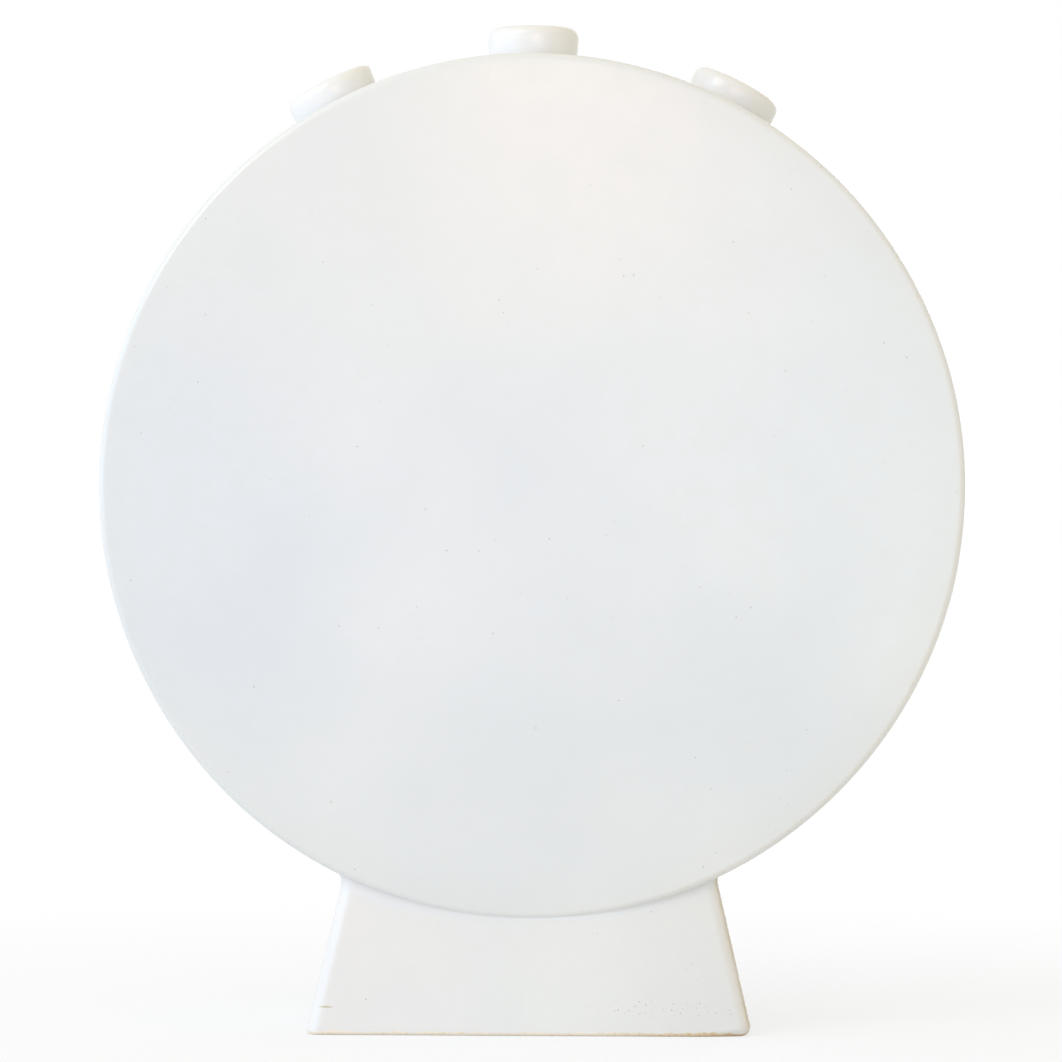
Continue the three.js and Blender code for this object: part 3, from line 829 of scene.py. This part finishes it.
def glazed(name, mesh, share, tints=(), painted_shade=0):
    """A glazed piece that stands for the solid of its name, with a share of pinholes at each point, the
    tints of its coat, painted light and shade among them, and the painted shade in its hollows."""
    store_glaze_flow(mesh, painted_shade)
    store_tone(mesh, tints)
    store_bare(mesh)
    store(mesh, "pit_share", share)
    sizes = {
        "Waver": WAVER, "Waver Length": WAVER_LENGTH, "Flat Base": FLAT_BASE, "Pit": pit_pattern,
        "Pit Radius": PIT_RADIUS, "Pit Spacing": PIT_SPACING, "Pits": PIT_CROWD, "Seed": SEED,
        "Material": white_glaze}
    add_piece(name, run_tree(skin, mesh, sizes))


def add_piece(name, mesh):
    """A piece that rides on the vase and stands for the solid of its name."""
    mesh.name = f"{name}_surface"
    mesh.shade_smooth()
    mesh.set_sharp_from_angle(angle=CREASE)
    piece = bpy.data.objects.new(f"{name}_piece", mesh)
    bpy.context.collection.objects.link(piece)
    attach(piece, "root")
    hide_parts(name)


def coil(name, line, section):
    """A pressed coil along a line that stands for the solid of its name."""
    pattern = bpy.data.objects.new("section", line_mesh(section, closed=True))
    sizes = {
        "Section": pattern, "Step": COIL_STEP, "Pitch": FINGER_PITCH, "Dent": FINGER_DENT,
        "Seed": FINGER_SEED, "Material": bare_clay}
    mesh = weld(run_tree(pressing, line_mesh(line), sizes))
    bpy.data.objects.remove(pattern)
    add_piece(name, mesh)


def corner_section():
    """A coil in a corner: a leg along each wall and a hollow face. The corner is at the origin."""
    leg = CORNER_COIL_LEG / math.sqrt(2)
    hollow = COIL_HOLLOW * CORNER_COIL_LEG * math.sqrt(2)
    return [(0, 0), *bend((-leg, leg), (0, hollow), (leg, leg), ROLL_STEPS)]


def corner_line(side_x, side_y):
    """The inside corner between two walls, from just above the table up into the band."""
    x = FOOT_HALF_WIDTH - WALL
    y = FOOT_HALF_DEPTH - WALL
    top = BODY_CENTRE - math.sqrt(BODY_RADIUS ** 2 - x ** 2)
    return [
        (side_x * (x - z * FOOT_LEAN), side_y * (y - z * FOOT_LEAN), z) for z in (CORNER_COIL_LIFT, top)]


def saddle_line(side_y):
    """Under the body, along the inside of the front or back wall."""
    radius = BODY_RADIUS + SADDLE_COIL
    reach = FOOT_HALF_WIDTH - WALL - CORNER_COIL_LEG - SADDLE_COIL
    reach -= FOOT_LEAN * (BODY_CENTRE - math.sqrt(BODY_RADIUS ** 2 - FOOT_HALF_WIDTH ** 2))
    points = []
    for turn in np.linspace(-1, 1, SADDLE_STEPS + 1) * math.asin(reach / radius):
        z = BODY_CENTRE - radius * math.cos(turn)
        wall = FOOT_HALF_DEPTH - WALL - z * FOOT_LEAN
        points.append((radius * math.sin(turn), side_y * (wall - SADDLE_COIL), z))
    return points


def disc_tints(disc):
    """Cooler and greyer on the left of a face, and a duller cloud low on its right."""
    x, _, z = points_of(disc).T
    left = 1 - smoothstep(*DISC_LEFT_ACROSS, x)
    left *= smoothstep(*DISC_LEFT_LOW, z) * (1 - DISC_LEFT_LOST * smoothstep(*DISC_LEFT_HIGH, z))
    cloud = np.exp(-reaches_off(x, z, CLOUD_PLACE, CLOUD_REACH) ** 2)
    return [(left, DISC_LEFT), (cloud, DISC_CLOUD)]


def foot_tints(wall):
    """Painted light to the left and painted shade to the right, and painted shade along the right corners,
    drawn as glaze broken to the clay.
    """
    x, y, z = points_of(wall).T
    past_x = x - (FOOT_HALF_WIDTH - z * FOOT_LEAN - FOOT_CORNER)
    past_y = np.abs(y) - (FOOT_HALF_DEPTH - z * FOOT_LEAN - FOOT_CORNER)
    # Painted shade round the right corners, uneven along them
    middle, spread = EDGE_TURN
    edge = np.exp(-((np.degrees(np.arctan2(past_x, past_y)) - middle) / spread) ** 2)
    uneven = np.array([noise.noise(vertex.co / EDGE_LENGTH) for vertex in wall.vertices])
    usual, variation = EDGE_SHARE
    edge *= np.clip(usual + variation * uneven, 0, 1)
    # Painted light to the left, painted shade to the right, and painted shade along the right corners
    return [
        (1 - smoothstep(*FOOT_LIGHT_ACROSS, x), FOOT_PAINTED_LIGHT), (smoothstep(*FOOT_SHADE_ACROSS, x), FOOT_PAINTED_SHADE),
        (edge, FOOT_EDGE_SHADE)]


white_glaze = make_white_glaze()
bare_clay = make_bare_clay()
turning = turning_tree()
pressing = pressing_tree()
skin = skin_tree()
pit_pattern = bpy.data.objects.new("pit_pattern", pit_mesh())

# The body
for name, side in (("front_disc", -1), ("back_disc", 1)):
    disc = turned(
        disc_profile(), BODY_TURN, (-side * math.pi / 2, 0, 0), (0, side * SEAM_PLANE, BODY_CENTRE))
    glazed(name, disc, outward_share(disc, (0, side, 0)), disc_tints(disc))

band = turned(band_profile(), BODY_TURN, (math.pi / 2, 0, 0), (0, 0, BODY_CENTRE), closed=True)
band = weld(cut(band, band_cutter()))
glazed("rim_band", band, np.zeros(len(band.vertices)))

for name, fan, height in (
    ("spout_left", -SPOUT_FAN, SIDE_SPOUT_HEIGHT),
    ("spout_centre", 0, CENTRE_SPOUT_HEIGHT),
    ("spout_right", SPOUT_FAN, SIDE_SPOUT_HEIGHT),
):
    collar = spout(height, fan)
    x, _, z = points_of(collar).T
    from_centre = np.hypot(x, z - BODY_CENTRE)
    # Painted shade round the foot of each spout, drawn as pooled glaze
    shade_height, shade_strength = NECK_SHADE
    painted_shade = shade_strength * (1 - smoothstep(0, shade_height, from_centre - BODY_RADIUS))
    # Painted shade is laid across each spout, from its left side to its right
    across = (x - math.sin(fan) * from_centre) / SPOUT_WIDEST
    # Painted light over each whole spout, and painted shade on its right side
    tints = [(np.ones(len(x)), SPOUT_PAINTED_LIGHT), (smoothstep(*SPOUT_SHADE_REACH, across), SPOUT_PAINTED_SHADE)]
    glazed(name, collar, np.zeros(len(x)), tints, painted_shade)

# The foot
for name, quarter in (("foot_back", 0), ("foot_left", 1), ("foot_front", 2), ("foot_right", 3)):
    lengths = (FOOT_HALF_WIDTH, FOOT_HALF_DEPTH)
    along, out = lengths if quarter % 2 == 0 else reversed(lengths)
    wall = foot_wall(along, out, quarter)
    facing = Matrix.Rotation(quarter * math.pi / 2, 3, "Z") @ Vector((0, 1, 0))
    share = outward_share(wall, facing)
    if name == "foot_front":
        x, _, z = points_of(wall).T
        crowd = 1 - smoothstep(*CROWD_FADE, reaches_off(x, z, CROWD_PLACE, CROWD_REACH))
        share = np.maximum(share, share / PIT_FEW * crowd)
    glazed(name, wall, share, foot_tints(wall))

for name, side_x, side_y in (
    ("front_left", -1, -1), ("front_right", 1, -1), ("back_left", -1, 1), ("back_right", 1, 1)
):
    coil(f"foot_corner_coil_{name}", corner_line(side_x, side_y), corner_section())
for name, side_y in (("front_saddle_coil", -1), ("back_saddle_coil", 1)):
    coil(name, saddle_line(side_y), arc((0, 0), SADDLE_COIL, 0, 360 - 360 / COIL_AROUND, COIL_AROUND - 1))

# The camera looks straight at the front, a little below the middle of the body and a touch askew
CAMERA_DISTANCE = 1.5
CAMERA_HEIGHT = 0.1762
CAMERA_ASIDE = -0.35 * MM
CAMERA_ROLL = math.radians(-0.3)
LENS = 145.1
SENSOR = 36
camera_data = bpy.data.cameras.new("camera")
camera_data.lens = LENS
camera_data.sensor_width = SENSOR
camera = bpy.data.objects.new("camera", camera_data)
camera.location = (CAMERA_ASIDE, disc_low.y - CAMERA_DISTANCE, CAMERA_HEIGHT)
camera.rotation_euler = (math.pi / 2, CAMERA_ROLL, 0)
bpy.context.collection.objects.link(camera)
bpy.context.scene.camera = camera


# The studio
LAMPS = (  # name, place, width and height of its panel, watts, colour
    ("window_left", (-2.6, -1.1, 0.9), 1.8, 1.8, 22.5, "#92C7FF"),
    ("window_far_left", (-2.4, 0.6, 0.7), 1.4, 1.4, 4.8, "#F4F7FC"),
    ("skylight_left", (-1.2, -1.1, 1.35), 0.9, 0.9, 9.4, "#FFF6E0"),
    ("hanging_lamp", (0.027, -0.59, 0.392), 0.15, 0.15, 0.26, "#FFC4A6"),
    ("low_window", (-0.1, -1.7, 0.16), 0.7, 0.3, 1.3, "#6C98FF"),
    ("low_window_right", (0.5, -2.0, 0.24), 0.8, 0.44, 1.7, "#C4EEFF"),
    ("window_right", (1.8, -0.6, 0.5), 1.0, 1.0, 1.4, "#FFF2E4"),
    ("window_back", (0.9, 2.2, 0.6), 1.4, 1.4, 13, "#E4EEFF"),
)
ROOM_COLOUR = "#FFF8E2"
ROOM_STRENGTH = 0.7
WHITE = (1, 1, 1, 1)
FLOOR_HALF = 4.0
FLOOR_FADE = (0.1, 0.5)  # distance from the middle over which the floor turns to plain white
FLOOR_NEAR = 0.68  # how white it is before that, where it keeps the shadow


def lamp(name, place, wide, high, watts, colour):
    """A soft lamp that faces the middle of the vase."""
    data = bpy.data.lights.new(name, "AREA")
    data.shape = "RECTANGLE"
    data.size = wide
    data.size_y = high
    data.energy = watts
    data.color = linear(colour)[:3]
    made = bpy.data.objects.new(name, data)
    made.location = place
    made.visible_camera = False
    made.rotation_euler = (Vector((0, 0, BODY_CENTRE)) - Vector(place)).to_track_quat("-Z", "Y").to_euler()
    bpy.context.collection.objects.link(made)


def seen_directly(tree):
    """1 for what the camera, a reflection or glass sees, and 0 for the light on the vase."""
    path = node(tree, "ShaderNodeLightPath").outputs
    direct = node(tree, "ShaderNodeMath", {
        0: path["Is Camera Ray"], 1: path["Is Glossy Ray"]}, operation="MAXIMUM")
    return node(tree, "ShaderNodeMath", {
        0: direct.outputs[0], 1: path["Is Transmission Ray"]}, operation="MAXIMUM").outputs[0]


def make_room():
    """A room whose walls light the vase softly, and are seen as plain white."""
    world = bpy.data.worlds.new("white_room")
    world.use_nodes = True
    tree = world.node_tree
    tree.nodes.clear()
    room = node(tree, "ShaderNodeBackground", {"Color": linear(ROOM_COLOUR), "Strength": ROOM_STRENGTH})
    white = node(tree, "ShaderNodeBackground", {"Color": WHITE, "Strength": 1.0})
    both = node(tree, "ShaderNodeMixShader", {
        0: seen_directly(tree), 1: room.outputs[0], 2: white.outputs[0]})
    node(tree, "ShaderNodeOutputWorld", {"Surface": both.outputs[0]})
    bpy.context.scene.world = world


def lay_floor():
    """A sheet of matt white paper. The eye sees a soft shadow on it, which fades into the white room."""
    paper = bpy.data.materials.new("matt_white_paper")
    paper.use_nodes = True
    tree = paper.node_tree
    tree.nodes.clear()
    direct = seen_directly(tree)
    tone = node(tree, "ShaderNodeMix", {
        0: direct, 6: linear("#ECECEC"), 7: linear("#F1F7FF")}, data_type="RGBA")
    sheet = node(tree, "ShaderNodeBsdfDiffuse", {"Color": tone.outputs[2]})
    glow = node(tree, "ShaderNodeEmission", {"Color": WHITE, "Strength": 1.0})
    place = node(tree, "ShaderNodeTexCoord").outputs["Object"]
    away = node(tree, "ShaderNodeVectorMath", {0: place}, operation="LENGTH")
    near, far = FLOOR_FADE
    fade = node(tree, "ShaderNodeMapRange", {
        "Value": away.outputs["Value"], "From Min": near, "From Max": far, "To Min": FLOOR_NEAR})
    share = node(tree, "ShaderNodeMath", {
        0: fade.outputs["Result"], 1: direct}, operation="MULTIPLY")
    mixed = node(tree, "ShaderNodeMixShader", {
        0: share.outputs[0], 1: sheet.outputs[0], 2: glow.outputs[0]})
    node(tree, "ShaderNodeOutputMaterial", {"Surface": mixed.outputs[0]})
    floor_mesh = bpy.data.meshes.new("floor")
    corners = [(x * FLOOR_HALF, y * FLOOR_HALF, 0) for x, y in ((-1, -1), (1, -1), (1, 1), (-1, 1))]
    floor_mesh.from_pydata(corners, [], [(0, 1, 2, 3)])
    floor_mesh.materials.append(paper)
    floor = bpy.data.objects.new("floor", floor_mesh)
    bpy.context.collection.objects.link(floor)


make_room()
lay_floor()
for settings in LAMPS:
    lamp(*settings)
bpy.context.scene.view_settings.view_transform = "Standard"

# The coils inside the body keep their solids
for node_name in ("front_seam_coil", "back_seam_coil"):
    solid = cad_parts[node_name]
    solid.data.materials.clear()
    solid.data.materials.append(bare_clay)
